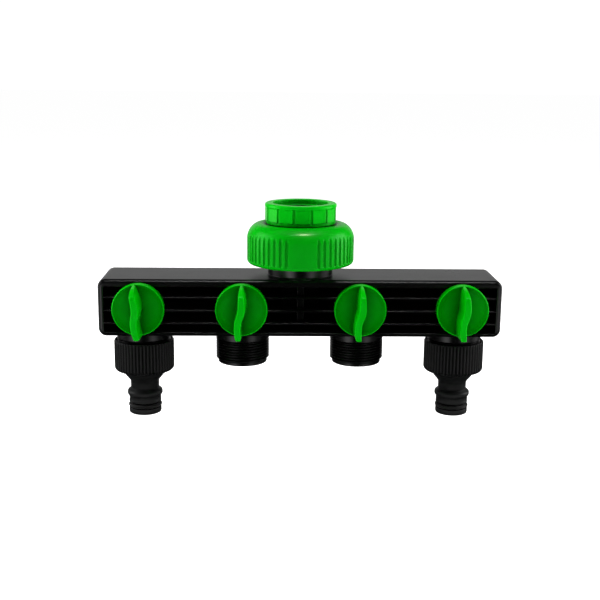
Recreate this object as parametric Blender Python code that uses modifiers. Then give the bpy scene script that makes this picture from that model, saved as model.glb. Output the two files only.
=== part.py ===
"""Four-way hose splitter.

A ribbed manifold bar with a swivel tap inlet on top, four quarter-turn shut-off valves along the
front and four threaded outlets underneath, the outer two carrying quick-connect nozzles.

Frame: origin at the centre of the flat back face, +X to the right of a person facing the knobs,
+Y from the knobs to the back face, +Z up. The inlet and the outlets share the plane y = AXIS_Y,
the inlet plane. Apart from AXIS_Y, every Y below is measured from that plane. T is the distance
from it towards the user. Sizes are in millimetres.
"""

import math

import bmesh
import bpy
from mathutils import Matrix, Vector

for stale in list(bpy.data.objects):
    bpy.data.objects.remove(stale, do_unlink=True)

MM = 0.001

# ---------------------------------------------------------------- driving dimensions
BODY_HALF_X = 97.35
BODY_HALF_Y = 17.0
BODY_HALF_Z = 14.0
BODY_CORNER_R = 3.8  # the four long edges
CORNER_STEPS = 4
EDGE_R = 1.8
AXIS_Y = -BODY_HALF_Y  # inlet plane, from the back face

POCKET_HALF_X = 94.6
POCKET_Z = (-11.9, 10.4)
POCKET_BACK_Y = 3.0

OUTER_X = 77.5
INNER_X = 28.4
OUTLET_X = (-OUTER_X, -INNER_X, INNER_X, OUTER_X)
VALVE_Z = 0.3
CHAMBER_R = 11.0
CHAMBER_BORE_R = 8.8
CHAMBER_FRONT_T = 12.5
PORT_Y = -3.0  # centre of the port under each valve
GALLERY_Y = 10.0
GALLERY_R = 5.0

G34_MAJOR_R = 13.22  # 3/4 inch pipe thread, 14 threads per inch
G34_MINOR_R = 12.06
G34_PITCH = 1.814
OUTLET_MAJOR_R = G34_MAJOR_R  # the outlets have a finer, shallower thread of the same size
OUTLET_MINOR_R = 12.4
OUTLET_PITCH = 1.33
G1_MAJOR_R = 16.62  # 1 inch pipe thread, 11 threads per inch
G1_MINOR_R = 15.15
G1_PITCH = 2.309
G1_CREST_Z = 30.0
THREAD_GAP = 0.4
THREAD_STEPS = 16

COLLAR_R = 13.2
COLLAR_Z = -17.9
THREAD_END_Z = -28.2
LIP_R = 12.1
LIP_Z = -30.23
OUTLET_BORE_R = 7.0

NECK_R = 15.9
NECK_Z = 19.4
NUT_R = 26.2
NUT_Z = (19.7, 39.2)
ADAPTOR_R = 17.5
ADAPTOR_Z = 49.4

KNOB_R = 12.65
KNOB_RIM_T = 22.6
KNOB_DISH_T = 21.1
KNOB_CREST_T = 34.6
KNOB_ANGLES = (-7.0, 2.4, 3.1, 1.5)  # degrees about the valve axis, off upright

CONNECTOR_R = 14.8
CONNECTOR_Z = (-19.0, -56.85)  # top and tip

NO_TURN = (0.0, 0.0, 0.0)
FACING = (math.pi / 2, 0.0, 0.0)  # turns a piece's own +Z towards the user, along -Y


# ---------------------------------------------------------------- collections and materials
def collection(name):
    made = bpy.data.collections.new(name)
    bpy.context.scene.collection.children.link(made)
    return made


PARTS = collection("hose_splitter")
CUTTERS = collection("cutters")

BLACK_PLASTIC = dict(colour=(0.012, 0.012, 0.013), roughness=0.42)
GREY_PLASTIC = dict(colour=(0.025, 0.026, 0.027), roughness=0.5)
GREEN_PLASTIC = dict(colour=(0.0, 0.42, 0.02), roughness=0.35)
WHITE_ACETAL = dict(colour=(0.55, 0.55, 0.52), roughness=0.35)
BLACK_RUBBER = dict(colour=(0.008, 0.008, 0.008), roughness=0.75)


def material(name, colour, roughness):
    made = bpy.data.materials.new(name)
    made.use_nodes = True
    shader = made.node_tree.nodes["Principled BSDF"]
    shader.inputs["Base Color"].default_value = (*colour, 1.0)
    shader.inputs["Roughness"].default_value = roughness
    return made


# ---------------------------------------------------------------- shape helpers
def put(name, shape, look=None, at=(0.0, 0.0, 0.0), turn=NO_TURN):
    """A new object from a bmesh or a mesh, placed from the inlet plane.

    A shape with a look is a piece and gives its material its own name; pieces that share a mesh
    share the first one's material. A shape without a look is a helper.
    """
    if isinstance(shape, bmesh.types.BMesh):
        mesh = bpy.data.meshes.new(name)
        shape.to_mesh(mesh)
        shape.free()
    else:
        mesh = shape
    made = bpy.data.objects.new(name, mesh)
    made.location = Vector((at[0], at[1] + AXIS_Y, at[2])) * MM
    made.rotation_euler = turn
    if look:
        PARTS.objects.link(made)
        if mesh.users < 2:
            mesh.materials.append(material(name, **look))
    else:
        CUTTERS.objects.link(made)
        made.hide_render = True
        made.display_type = "WIRE"
    return made


def baked(made):
    """The evaluated mesh of an object, which is then removed."""
    graph = bpy.context.evaluated_depsgraph_get()
    mesh = bpy.data.meshes.new_from_object(made.evaluated_get(graph))
    bpy.data.objects.remove(made, do_unlink=True)
    return mesh


def block(name, x, y, z):
    """A helper box from its (low, high) limits, with its origin at its centre."""
    shape = bmesh.new()
    bmesh.ops.create_cube(shape, size=1.0)
    size = Vector((x[1] - x[0], y[1] - y[0], z[1] - z[0])) * MM
    bmesh.ops.scale(shape, vec=size, verts=shape.verts)
    return put(name, shape, at=[sum(limits) / 2 for limits in (x, y, z)])


def plate(x, y, z):
    """A box from its limits, as an item for gathered()."""
    return baked(block("plate", x, y, z)), [sum(limits) / 2 for limits in (x, y, z)], NO_TURN


def square_bar(half_width, low, high):
    side = (-half_width, half_width)
    return plate(side, side, (low, high))


def gathered(name, items):
    """One helper from copies of meshes: items are (mesh, (x, y, z), (rx, ry, rz))."""
    shape = bmesh.new()
    for mesh, at, turn in items:
        before = len(shape.verts)
        shape.from_mesh(mesh)
        shape.verts.ensure_lookup_table()
        place = Matrix.Translation(Vector(at) * MM)
        for angle, axis in zip(turn, "XYZ"):
            place = place @ Matrix.Rotation(angle, 4, axis)
        bmesh.ops.transform(shape, matrix=place, verts=shape.verts[before:])
    return put(name, shape)


def at_outlets(name, mesh, y=0.0, z=0.0, turn=NO_TURN):
    """One helper with a copy of the mesh at each outlet."""
    return gathered(name, [(mesh, (x, y, z), turn) for x in OUTLET_X])


# Outlines are (radius, height) pairs on a piece's own Z axis and run down its outer side.
def rod(radius, low, high):
    return [(0, high), (radius, high), (radius, low), (0, low)]


def tube(outer, inner, low, high):
    return [(outer, high), (outer, low), (inner, low), (inner, high)]


def oring(radius, height, thickness_r, corners):
    angles = [2 * math.pi * k / corners for k in range(corners)]
    return [
        (radius + thickness_r * math.cos(-a), height + thickness_r * math.sin(-a)) for a in angles
    ]


def outline_shape(outline, ring):
    """A chain of edges in the XZ half-plane, closed if it is a ring."""
    shape = bmesh.new()
    corners = [shape.verts.new((r * MM, 0.0, z * MM)) for r, z in outline]
    for start, end in zip(corners, corners[1:]):
        shape.edges.new((start, end))
    if ring:
        shape.edges.new((corners[-1], corners[0]))
    return shape


def add_screw(made, steps):
    screw = made.modifiers.new("Turn", "SCREW")
    screw.axis = "Z"
    screw.angle = 2 * math.pi
    screw.steps = screw.render_steps = steps
    screw.use_smooth_shade = True
    return screw


def turned(name, outline, look=None, ring=False, steps=24, at=(0.0, 0.0, 0.0), turn=NO_TURN):
    """A piece turned on its own Z axis."""
    made = put(name, outline_shape(outline, ring), look, at, turn)
    screw = add_screw(made, steps)
    screw.use_merge_vertices = True
    screw.merge_threshold = 0.000001
    return made


def turned_mesh(outline, steps, ring=False):
    return baked(turned("turned", outline, ring=ring, steps=steps))


def thread_mesh(major, minor, pitch, low, high, crest_z):
    """A right-hand threaded rod from low to high.

    A zigzag is swept up one pitch in each turn, welded to itself and cut square at both ends.
    One crest crosses the +X side at crest_z.
    """
    z = crest_z + math.ceil((high - crest_z) / pitch + 1.5) * pitch
    zigzag = []
    while z > low - 2.5 * pitch:
        zigzag += [(major, z), (minor, z - pitch / 2)]
        z -= pitch
    made = put("thread", outline_shape(zigzag, ring=False))
    add_screw(made, THREAD_STEPS).screw_offset = pitch * MM
    mesh = baked(made)
    shape = bmesh.new()
    shape.from_mesh(mesh)
    bmesh.ops.remove_doubles(shape, verts=shape.verts, dist=0.000002)
    for level, way in ((high, 1.0), (low, -1.0)):
        bmesh.ops.bisect_plane(
            shape,
            geom=list(shape.verts) + list(shape.edges) + list(shape.faces),
            dist=0.0000005,
            plane_co=(0.0, 0.0, level * MM),
            plane_no=(0.0, 0.0, way),
            clear_outer=True,
        )
    rim = [edge for edge in shape.edges if edge.is_boundary]
    bmesh.ops.holes_fill(shape, edges=rim, sides=0)
    bmesh.ops.recalc_face_normals(shape, faces=shape.faces)
    shape.to_mesh(mesh)
    shape.free()
    return mesh


def boolean(target, tool, operation):
    step = target.modifiers.new(tool.name, "BOOLEAN")
    step.object = tool
    step.operation = operation
    step.solver = "EXACT"


def join(target, tool):
    boolean(target, tool, "UNION")


def cut(target, tool):
    boolean(target, tool, "DIFFERENCE")


# ---------------------------------------------------------------- manifold body
def bar_section():
    """The bar seen from the front: (x, z) points of a rectangle with round corners."""
    section = []
    for x_side, z_side, first in ((1, 1, 0), (-1, 1, 90), (-1, -1, 180), (1, -1, 270)):
        for k in range(CORNER_STEPS + 1):
            angle = math.radians(first + 90 / CORNER_STEPS * k)
            x = x_side * (BODY_HALF_X - BODY_CORNER_R) + BODY_CORNER_R * math.cos(angle)
            z = z_side * (BODY_HALF_Z - BODY_CORNER_R) + BODY_CORNER_R * math.sin(angle)
            section.append((x, z))
    return section


def bar():
    """The solid bar, with its front and back edges rounded."""
    shape = bmesh.new()
    front = shape.faces.new(
        [shape.verts.new((x * MM, -BODY_HALF_Y * MM, z * MM)) for x, z in bar_section()]
    )
    raised = bmesh.ops.extrude_face_region(shape, geom=[front])
    bmesh.ops.translate(
        shape,
        vec=(0.0, 2 * BODY_HALF_Y * MM, 0.0),
        verts=[v for v in raised["geom"] if isinstance(v, bmesh.types.BMVert)],
    )
    bmesh.ops.recalc_face_normals(shape, faces=shape.faces)
    made = put("manifold_body", shape, BLACK_PLASTIC)
    round_edges = made.modifiers.new("Edges", "BEVEL")
    round_edges.width = EDGE_R * MM
    round_edges.segments = 2
    round_edges.limit_method = "ANGLE"
    round_edges.angle_limit = math.radians(60)
    return made


body = bar()
POCKET_CUT_Y = (-20.0, POCKET_BACK_Y)  # starts in front of the bar
cut(body, block("pocket", (-POCKET_HALF_X, POCKET_HALF_X), POCKET_CUT_Y, POCKET_Z))

# what stands in the pocket; the small additions to the pocket's limits sink it into the walls
RIB_Z = (5.0, -1.4, -7.7)
RIB_T = 1.0  # thickness
RIB_SINK = 0.5
RIB_X = (-POCKET_HALF_X - RIB_SINK, POCKET_HALF_X + RIB_SINK)
RIB_Y = (-16.2, POCKET_BACK_Y + RIB_SINK)
WEB_X = (-1.65, 1.65)
WEB_Y = (-12.0, -3.0)
WEB_Z = (RIB_Z[2] - 0.2, POCKET_Z[1] + 0.6)
INLET_BLOCK_X = (-9.0, 9.0)
INLET_BLOCK_Y = (-4.0, POCKET_BACK_Y + 0.6)
INLET_BLOCK_Z = (-5.5, POCKET_Z[1] + 0.8)
CHAMBER_BACK_T = -POCKET_BACK_Y - 0.7
BOSS_R = 9.0  # upright bosses that reach from the chambers to the pocket floor
BOSS_Z = (-13.1, -6.0)

ribs = [plate(RIB_X, RIB_Y, (z - RIB_T / 2, z + RIB_T / 2)) for z in RIB_Z]
join(body, gathered("ribs", ribs))
join(body, block("centre_web", WEB_X, WEB_Y, WEB_Z))
join(body, block("inlet_block", INLET_BLOCK_X, INLET_BLOCK_Y, INLET_BLOCK_Z))
chamber = turned_mesh(rod(CHAMBER_R, CHAMBER_BACK_T, CHAMBER_FRONT_T), steps=18)
join(body, at_outlets("chambers", chamber, z=VALVE_Z, turn=FACING))
boss = turned_mesh(rod(BOSS_R, *BOSS_Z), steps=12)
join(body, at_outlets("bosses", boss, y=PORT_Y))

# the inlet neck on top, and the four threaded outlets below
NECK_OUTLINE = [
    (0, NECK_Z), (NECK_R - 0.3, NECK_Z), (NECK_R, NECK_Z - 0.4), (NECK_R, 12.6), (0, 12.6),
]
THREAD_CORE_R = OUTLET_MINOR_R - 0.5
STUB_OUTLINE = [
    (0, -12.8), (COLLAR_R, -12.8), (COLLAR_R, COLLAR_Z),
    (THREAD_CORE_R, COLLAR_Z - 1.1), (THREAD_CORE_R, THREAD_END_Z + 0.3),
    (LIP_R, THREAD_END_Z + 0.1), (LIP_R, LIP_Z + 0.4), (LIP_R - 0.4, LIP_Z), (0, LIP_Z),
]
join(body, turned("neck", NECK_OUTLINE, steps=26))
join(body, at_outlets("stubs", turned_mesh(STUB_OUTLINE, steps=20)))
outlet_thread = thread_mesh(
    OUTLET_MAJOR_R,
    OUTLET_MINOR_R,
    OUTLET_PITCH,
    low=THREAD_END_Z,
    high=COLLAR_Z - 0.35,
    crest_z=COLLAR_Z,
)
join(body, at_outlets("outlet_threads", outlet_thread))

# waterways: neck, feed and gallery, which is wider at both ends for its plugs
FEED_Y = 5.0
GALLERY_OUTLINE = [
    (0, 99.0), (6.9, 99.0), (6.9, 95.0), (GALLERY_R, 95.0),
    (GALLERY_R, -95.0), (6.9, -95.0), (6.9, -99.0), (0, -99.0),
]
cut(body, turned("neck_bore", rod(radius=11.8, low=11.7, high=22.0)))
cut(body, turned("feed_bore", rod(radius=6.0, low=-3.0, high=13.0), steps=20, at=(0, FEED_Y, 0)))
gallery = turned_mesh(GALLERY_OUTLINE, steps=20)
cut(body, gathered("gallery_bore", [(gallery, (0, GALLERY_Y, 0), (0, math.pi / 2, 0))]))

# waterways at each outlet: chamber with its rear port (radius, T), seal's seat and outlet
CHAMBER_BORE_OUTLINE = [
    (0, 18.0), (10.0, 18.0), (10.0, 12.3), (CHAMBER_BORE_R, 12.3),
    (CHAMBER_BORE_R, -2.0), (4.5, -2.0), (4.5, -GALLERY_Y), (0, -GALLERY_Y),
]
SEAT_OUTLINE = [(0, -3.1), (6.2, -3.1), (6.2, -10.6), (4.6, -10.6), (4.6, -13.5), (0, -13.5)]
waterway = turned(
    "waterway_shape", CHAMBER_BORE_OUTLINE, steps=20, at=(0, 0, VALVE_Z), turn=FACING
)
join(waterway, turned("seat_hole", SEAT_OUTLINE, steps=16, at=(0, PORT_Y, 0)))
join(waterway, turned("outlet_hole", rod(OUTLET_BORE_R, low=-32.0, high=-12.6), steps=18))
cut(body, at_outlets("waterways", baked(waterway), z=VALVE_Z, turn=FACING))

# ---------------------------------------------------------------- gallery end plugs
END_PLUG_R = GALLERY_R - 0.35
END_PLUG_OUTLINE = [
    (0, 96.8), (6.5, 96.8), (6.5, 95.3), (END_PLUG_R, 95.3), (END_PLUG_R, 84.0), (0, 84.0),
]
for side, name in ((-1, "end_plug_left"), (1, "end_plug_right")):
    turned(
        name,
        END_PLUG_OUTLINE,
        BLACK_PLASTIC,
        steps=20,
        at=(0, GALLERY_Y, 0),
        turn=(0, side * math.pi / 2, 0),
    )

# ---------------------------------------------------------------- swivel inlet
# flanged tail in the neck
TAIL_OUTLINE = [
    (14.9, 25.8), (14.9, 23.3), (13.0, 23.3), (13.0, 19.7), (11.5, 19.7),
    (11.5, 12.5), (11.0, 12.0), (8.5, 12.0), (8.5, 25.8),
]
turned("inlet_tail", TAIL_OUTLINE, BLACK_PLASTIC, ring=True, steps=22)

# nut, held under the tail's flange
NUT_OUTLINE = [
    (18.0, NUT_Z[1]), (19.6, 39.6), (21.1, 39.5), (22.9, 38.7), (24.6, 37.0), (25.6, 35.2),
    (NUT_R, 32.8), (NUT_R, 21.4), (24.7, NUT_Z[0]), (13.4, NUT_Z[0]), (13.4, 23.0),
    (15.9, 23.0), (15.9, 26.5), (15.2, 26.5), (15.2, NUT_Z[1]),
]
nut = turned("swivel_nut", NUT_OUTLINE, GREEN_PLASTIC, ring=True, steps=32)
nut_thread = thread_mesh(
    G1_MAJOR_R + THREAD_GAP,
    G1_MINOR_R + THREAD_GAP,
    G1_PITCH,
    low=26.2,
    high=42.0,
    crest_z=G1_CREST_Z,
)
cut(nut, put("nut_thread", nut_thread))

GASKET_OUTLINE = tube(outer=14.6, inner=8.9, low=26.1, high=28.3)
turned("inlet_gasket", GASKET_OUTLINE, BLACK_RUBBER, ring=True, steps=20)

# adaptor: 1 inch male thread below, 3/4 inch female thread above
ADAPTOR_OUTLINE = [
    (0, ADAPTOR_Z), (16.6, ADAPTOR_Z), (ADAPTOR_R, ADAPTOR_Z - 0.8), (ADAPTOR_R, 41.1),
    (16.9, 40.8), (16.9, 39.5), (14.6, 39.5), (14.6, 28.6), (0, 28.6),
]
ADAPTOR_BORE_OUTLINE = [
    (0, 52.0), (13.3, 52.0), (13.3, 47.4), (11.8, 47.4), (11.8, 36.4),
    (13.0, 36.4), (13.0, 34.0), (8.8, 34.0), (8.8, 26.0), (0, 26.0),
]
adaptor = turned("inlet_adaptor", ADAPTOR_OUTLINE, GREEN_PLASTIC, steps=26)
male_thread = thread_mesh(
    G1_MAJOR_R, G1_MINOR_R, G1_PITCH, low=29.0, high=40.0, crest_z=G1_CREST_Z
)
join(adaptor, put("adaptor_male", male_thread))
cut(adaptor, turned("adaptor_bore", ADAPTOR_BORE_OUTLINE, steps=20))
female_thread = thread_mesh(
    G34_MAJOR_R + 0.1, G34_MINOR_R + 0.25, G34_PITCH, low=36.0, high=47.8, crest_z=40.0
)
cut(adaptor, put("adaptor_female", female_thread))

# thin grooves that part the adaptor's side into grip panels
PANELS = 13
PANEL_START = -90 + 1.95  # degrees
GROOVE_HALF = 0.4
GROOVE_Z = (40.5, 47.8)
groove, groove_centre, _ = square_bar(GROOVE_HALF, *GROOVE_Z)
panel_grooves = []
for k in range(PANELS):
    angle = math.radians(PANEL_START + (k + 0.5) * 360 / PANELS)
    place = (ADAPTOR_R * math.cos(angle), ADAPTOR_R * math.sin(angle), groove_centre[2])
    panel_grooves.append((groove, place, (0, 0, angle)))
cut(adaptor, gathered("panel_grooves", panel_grooves))

ADAPTOR_WASHER_OUTLINE = tube(outer=11.6, inner=9.2, low=34.3, high=36.6)
turned("adaptor_washer", ADAPTOR_WASHER_OUTLINE, BLACK_RUBBER, ring=True, steps=20)

# ---------------------------------------------------------------- valves, outlines in (radius, T)
RETAINER_OUTLINE = [
    (9.7, 14.4), (9.7, 12.6), (8.4, 12.6), (8.4, 11.4), (4.3, 11.4), (4.3, 14.4),
]
retainer_mesh = turned_mesh(RETAINER_OUTLINE, steps=16, ring=True)

STEM_ORING_OUTLINE = oring(radius=3.65, height=13.1, thickness_r=0.45, corners=5)
stem_oring_mesh = turned_mesh(STEM_ORING_OUTLINE, steps=14, ring=True)

KNOB_OUTLINE = [
    (0, KNOB_DISH_T), (8.5, KNOB_DISH_T + 0.1), (11.2, KNOB_DISH_T + 0.7),
    (11.8, KNOB_RIM_T), (12.25, KNOB_RIM_T - 0.1), (KNOB_R, KNOB_RIM_T - 0.6),
    (KNOB_R, 17.6), (5.5, 17.6), (5.4, 15.2), (0, 15.2),
]
# height along the fin, left and right edge of the crest, left and right edge of the foot,
# crest's T
FIN = (
    (11.9, -1.15, 0.75, -1.35, 0.95, KNOB_RIM_T + 1.0),
    (11.1, -1.29, 0.81, -1.6, 1.2, KNOB_RIM_T + 6.4),
    (10.2, -1.41, 0.89, -1.8, 1.5, KNOB_RIM_T + 9.7),
    (9.1, -1.44, 1.06, -1.95, 1.85, KNOB_RIM_T + 11.6),
    (7.7, -1.47, 1.28, -2.05, 2.25, KNOB_CREST_T),
    (4.8, -1.44, 1.64, -2.15, 2.85, KNOB_CREST_T),
    (1.5, -1.48, 1.72, -2.18, 2.85, KNOB_CREST_T),
    (-0.7, -1.97, 1.33, -2.5, 2.3, KNOB_CREST_T),
    (-2.2, -2.45, 0.8, -2.85, 1.75, KNOB_CREST_T),
    (-3.9, -2.76, 0.33, -3.07, 1.15, KNOB_CREST_T),
    (-6.2, -2.87, 0.14, -3.16, 0.8, KNOB_CREST_T),
    (-9.0, -2.66, 0.26, -3.0, 0.85, KNOB_CREST_T),
    (-12.1, -1.98, 0.48, -2.6, 1.1, KNOB_CREST_T),
)
FIN_FOOT_T = 18.6  # inside the cup, below its dish


def fin_shape():
    """The wavy fin: cross sections that narrow towards the crest, closed at both ends."""
    shape = bmesh.new()
    sections = []
    for height, crest_left, crest_right, foot_left, foot_right, crest_t in FIN:
        corners = (
            (foot_left, FIN_FOOT_T),
            (foot_right, FIN_FOOT_T),
            (crest_right, crest_t),
            (crest_left, crest_t),
        )
        sections.append([shape.verts.new((x * MM, height * MM, t * MM)) for x, t in corners])
    for near, far in zip(sections, sections[1:]):
        for i in range(4):
            j = (i + 1) % 4
            shape.faces.new((near[i], near[j], far[j], far[i]))
    shape.faces.new(sections[0])
    shape.faces.new(list(reversed(sections[-1])))
    bmesh.ops.triangulate(shape, faces=shape.faces)
    bmesh.ops.recalc_face_normals(shape, faces=shape.faces)
    return shape


# knob: a dished cup with the fin in front and a square socket behind
knob = turned("knob_shape", KNOB_OUTLINE, steps=24)
join(knob, put("fin", fin_shape()))
cut(knob, gathered("socket", [square_bar(half_width=2.6, low=14.0, high=17.9)]))
knob_mesh = baked(knob)

# plug: a hollow drum with a window, a grooved stem and a square that enters the knob
PLUG_OUTLINE = [
    (0, 14.7), (4.0, 14.7), (4.0, 13.9), (3.0, 13.9), (3.0, 12.3), (4.0, 12.3),
    (4.0, 11.0), (8.5, 11.0), (8.5, -1.6), (0, -1.6),
]
plug = turned("plug_shape", PLUG_OUTLINE, steps=18)
join(plug, gathered("square", [square_bar(half_width=2.3, low=13.5, high=17.5)]))
cut(plug, turned("plug_hollow", rod(radius=6.2, low=-3.0, high=9.0), steps=12))
window = turned_mesh(rod(radius=4.3, low=0.0, high=12.0), steps=12)
cut(plug, gathered("plug_window", [(window, (0, 0, -PORT_Y), FACING)]))
plug_mesh = baked(plug)

# port seal: an upright tube, its top hollowed to the chamber's bore
saddle = turned_mesh(rod(CHAMBER_BORE_R, low=-20.0, high=20.0), steps=20)
seal = turned("seal_shape", tube(outer=5.9, inner=4.6, low=-10.3, high=-4.0), ring=True, steps=14)
cut(seal, gathered("saddle", [(saddle, (0, 0, VALVE_Z), FACING)]))
seal_mesh = baked(seal)

for number, (x, lean) in enumerate(zip(OUTLET_X, KNOB_ANGLES), start=1):
    axis = bpy.data.objects.new(f"valve_axis_{number}", None)
    PARTS.objects.link(axis)
    axis.location = Vector((x, AXIS_Y, VALVE_Z)) * MM
    axis.rotation_euler = (FACING[0], math.radians(lean), 0)
    for name, mesh, look in (
        ("knob", knob_mesh, GREEN_PLASTIC),
        ("valve_plug", plug_mesh, WHITE_ACETAL),
        ("stem_oring", stem_oring_mesh, BLACK_RUBBER),
    ):
        piece = put(f"{name}_{number}", mesh, look)
        piece.location = (0.0, 0.0, 0.0)
        piece.parent = axis
    put(f"valve_retainer_{number}", retainer_mesh, BLACK_PLASTIC, at=(x, 0, VALVE_Z), turn=FACING)
    put(f"port_seal_{number}", seal_mesh, BLACK_RUBBER, at=(x, PORT_Y, 0))

# ---------------------------------------------------------------- quick-connect nozzles
CONNECTOR_OUTLINE = [
    (14.4, CONNECTOR_Z[0]), (CONNECTOR_R, -19.5), (CONNECTOR_R, -32.8), (14.4, -34.0),
    (13.2, -34.8), (10.9, -35.05), (10.1, -36.2), (8.4, -38.3), (7.2, -40.1), (6.9, -43.7),
    (8.7, -45.6), (8.7, -47.2), (7.95, -48.4), (7.95, -51.6), (6.3, -51.6), (6.3, -54.0),
    (8.05, -54.0), (8.05, -56.3), (7.5, CONNECTOR_Z[1]), (5.0, CONNECTOR_Z[1]), (5.0, -35.0),
    (7.4, -32.85), (12.9, -32.85), (12.9, -31.0), (12.2, -31.0), (12.2, -20.4),
    (13.9, CONNECTOR_Z[0]),
]
connector = turned("connector_shape", CONNECTOR_OUTLINE, ring=True, steps=24)
connector_thread = thread_mesh(
    OUTLET_MAJOR_R + THREAD_GAP,
    OUTLET_MINOR_R + THREAD_GAP,
    OUTLET_PITCH,
    low=-31.3,
    high=-18.0,
    crest_z=COLLAR_Z,
)
cut(connector, put("connector_tap", connector_thread))
connector_mesh = baked(connector)

WASHER_OUTLINE = tube(outer=12.1, inner=7.6, low=-32.55, high=-30.55)
washer_mesh = turned_mesh(WASHER_OUTLINE, steps=20, ring=True)

SPIGOT_ORING_OUTLINE = oring(radius=7.45, height=-52.8, thickness_r=0.88, corners=6)
spigot_oring_mesh = turned_mesh(SPIGOT_ORING_OUTLINE, steps=16, ring=True)

for side, x in (("left", -OUTER_X), ("right", OUTER_X)):
    put(f"connector_{side}", connector_mesh, GREY_PLASTIC, at=(x, 0, 0))
    put(f"connector_washer_{side}", washer_mesh, BLACK_RUBBER, at=(x, 0, 0))
    put(f"spigot_oring_{side}", spigot_oring_mesh, BLACK_RUBBER, at=(x, 0, 0))
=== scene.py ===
"""A four-way hose splitter: a black bar with four valves and outlets, fed by a swivel inlet on top.

The bar lies along x, its knobs face the user at -y and its outlets point down. Shapes are in
millimetres in the bar's own frame: x = 0 and z = 0 at the middle of the bar, y = 0 on the inlet
axis. A point (x, y, z) there is (x, y + AXIS_Y, z) / 1000 in the row frame.

Unless said otherwise an outline's rows are (radius from the axis, place along the axis, corner
radius); a corner radius of 0 keeps the corner sharp.
"""

import math

import bmesh
import bpy
import numpy as np
from mathutils import Matrix, Vector


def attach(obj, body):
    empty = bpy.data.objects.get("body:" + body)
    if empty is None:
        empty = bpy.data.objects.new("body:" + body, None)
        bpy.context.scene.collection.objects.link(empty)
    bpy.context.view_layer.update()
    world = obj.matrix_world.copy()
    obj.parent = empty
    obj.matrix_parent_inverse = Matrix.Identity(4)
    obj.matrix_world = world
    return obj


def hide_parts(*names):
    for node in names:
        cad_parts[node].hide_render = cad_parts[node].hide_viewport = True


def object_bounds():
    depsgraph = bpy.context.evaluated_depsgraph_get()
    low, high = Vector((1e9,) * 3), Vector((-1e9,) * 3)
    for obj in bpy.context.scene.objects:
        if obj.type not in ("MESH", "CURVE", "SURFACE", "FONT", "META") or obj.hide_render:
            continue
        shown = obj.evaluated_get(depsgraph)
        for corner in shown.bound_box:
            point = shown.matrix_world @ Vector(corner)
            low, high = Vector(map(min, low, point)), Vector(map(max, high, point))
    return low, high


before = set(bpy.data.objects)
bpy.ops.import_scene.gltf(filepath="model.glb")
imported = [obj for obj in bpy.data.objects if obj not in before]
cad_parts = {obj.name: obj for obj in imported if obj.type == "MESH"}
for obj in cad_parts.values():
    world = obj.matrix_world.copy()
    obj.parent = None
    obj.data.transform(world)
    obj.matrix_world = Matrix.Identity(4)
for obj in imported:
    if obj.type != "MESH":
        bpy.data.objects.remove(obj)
CAD_BOX = [list(corner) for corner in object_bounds()]
SCENE = bpy.context.scene
MM = 0.001

# The bar
HALF_LENGTH = 97.35
HALF_HEIGHT = 14.0
HALF_DEPTH = 17.0
AXIS_Y = -HALF_DEPTH  # the bar's back is at y = 0 in the row frame
GALLERY_Y = 10.0  # the bore along the bar
OUTLET_X = (-77.5, -28.4, 28.4, 77.5)
VALVE_Z = 0.3
SEAT_Y = -3.0
KNOB_ANGLES = (-7.0, 2.4, 3.1, 1.5)  # degrees each knob is turned

# Threads: pitch, and the height of a crest on the +X side, shared by the mating pieces
OUTLET_PITCH, OUTLET_CREST = 1.33, -17.9
NUT_PITCH, NUT_CREST = 2.309, 30.0
SOCKET_PITCH, SOCKET_CREST = 1.814, 40.0

# Swivel nut: three plain lands with grooves between them
NUT_RADIUS = 26.2
NUT_BOTTOM = 19.7
NUT_ROUNDING = 2.0
NUT_TURNED = math.radians(-90 + 1.03)  # the middle of a plain land
NUT_FLUTE = math.radians(6.658)  # angle from groove to groove
NUT_FLUTE_COUNT = 14  # between two lands

# Inlet adaptor: flat grip panels all round
ADAPTOR_RADIUS = 17.5
PANEL = 2 * math.pi / 13
PANEL_TURNED = math.radians(-90 + 1.95)

NOZZLE_FLUTES = 54


# ------------------------------------------------------------------ curves in a plane
def fillet(before, corner, after, radius, steps=5, parts=None):
    """The points of a rounded corner, in parts or in steps per right angle.
    The radius shrinks where a side is too short for it."""
    corner = np.array(corner, float)
    if radius <= 0:
        return [corner]
    before = np.array(before, float) - corner
    after = np.array(after, float) - corner
    before_length, after_length = np.linalg.norm(before), np.linalg.norm(after)
    before, after = before / before_length, after / after_length
    turn = math.acos(max(-1.0, min(1.0, float(before @ after))))
    if turn > math.pi - 0.02:  # all but straight
        return [corner]
    reach = min(radius / math.tan(turn / 2), 0.49 * before_length, 0.49 * after_length)
    radius = reach * math.tan(turn / 2)
    bisector = before + after
    centre = corner + bisector / np.linalg.norm(bisector) * math.hypot(reach, radius)
    start, stop = corner + before * reach - centre, corner + after * reach - centre
    first, last = math.atan2(start[1], start[0]), math.atan2(stop[1], stop[0])
    sweep = (last - first + math.pi) % (2 * math.pi) - math.pi
    if parts is None:
        parts = max(2, int(math.ceil(steps * abs(sweep) / (math.pi / 2))))
    angles = [first + sweep * k / parts for k in range(parts + 1)]
    return [centre + radius * np.array((math.cos(a), math.sin(a))) for a in angles]


def rounded(points, steps=5):
    """An outline from corners (x, y, corner radius)."""
    out = []
    for i, (x, y, radius) in enumerate(points):
        after = points[(i + 1) % len(points)]
        out += fillet(points[i - 1][:2], (x, y), after[:2], radius, steps)
    return np.array(out)


def rectangle(across, along, radius, steps):
    """A rectangle between two pairs of limits, with rounded corners."""
    (left, right), (low, high) = across, along
    corners = [(left, low), (right, low), (right, high), (left, high)]
    return rounded([(*corner, radius) for corner in corners], steps)


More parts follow.
